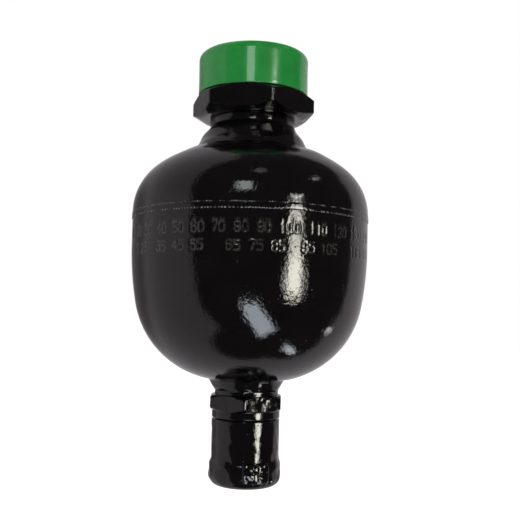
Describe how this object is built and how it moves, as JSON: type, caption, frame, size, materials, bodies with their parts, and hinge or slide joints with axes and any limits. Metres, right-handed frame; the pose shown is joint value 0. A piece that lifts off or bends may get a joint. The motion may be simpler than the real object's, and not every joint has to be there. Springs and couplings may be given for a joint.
{
  "type": "bladder accumulator",
  "caption": "Small welded bladder accumulator with a capped male fluid port on top and a guarded gas valve below.",
  "frame": {"origin": "on the shell's axis, in the middle of the straight belt that a clamp grips", "axes": "+Z along the shell's axis towards the fluid port, -Y towards the front"},
  "size_m": [0.1086, 0.1086, 0.1982],
  "materials": {
    "black_paint": "thick glossy black paint with orange peel",
    "green_plastic": "glossy moulded plastic",
    "rubber": "matt moulded nitrile rubber",
    "turned_steel": "fine turned steel",
    "spring_steel": "drawn spring wire",
    "brass": "turned brass"
  },
  "bodies": {
    "vessel": {"upper_shell": "black_paint", "weld_seam": "black_paint", "lower_shell": "black_paint", "port_body": "black_paint", "port_o_ring": "rubber", "poppet_guide": "turned_steel", "guide_retaining_ring": "turned_steel", "poppet_spring": "spring_steel", "bladder": "rubber", "valve_stem": "turned_steel", "stem_o_ring": "rubber", "stem_lock_nut": "black_paint", "guard_cap_o_ring": "rubber", "valve_core_body": "brass", "valve_core_o_ring": "rubber", "valve_core_spring": "spring_steel", "valve_seal_cap": "brass", "seal_cap_gasket": "rubber"},
    "port_protector": {"thread_cap": "green_plastic"},
    "valve_guard": {"guard_cap": "black_paint"},
    "poppet_valve": {"poppet": "turned_steel", "poppet_stop_nut": "turned_steel"},
    "core_pin": {"valve_core_pin": "brass", "valve_core_seal": "rubber"}
  },
  "joints": [
    {"name": "port_protector_pull", "type": "slide", "parent": "vessel", "child": "port_protector", "axis": [0, 0, 1], "range_m": [0, 0.05]},
    {"name": "valve_guard_unscrew", "type": "slide", "parent": "vessel", "child": "valve_guard", "axis": [0, 0, -1], "range_m": [0, 0.04]},
    {"name": "poppet_close", "type": "slide", "parent": "vessel", "child": "poppet_valve", "axis": [0, 0, 1], "range_m": [0, 0.006], "stiffness_N_per_m": 400, "springref_m": -0.012, "deforming": ["poppet_spring"]},
    {"name": "core_pin_press", "type": "slide", "parent": "vessel", "child": "core_pin", "axis": [0, 0, 1], "range_m": [0, 0.0012], "stiffness_N_per_m": 400, "springref_m": -0.0025, "deforming": ["valve_core_spring"]}
  ]
}
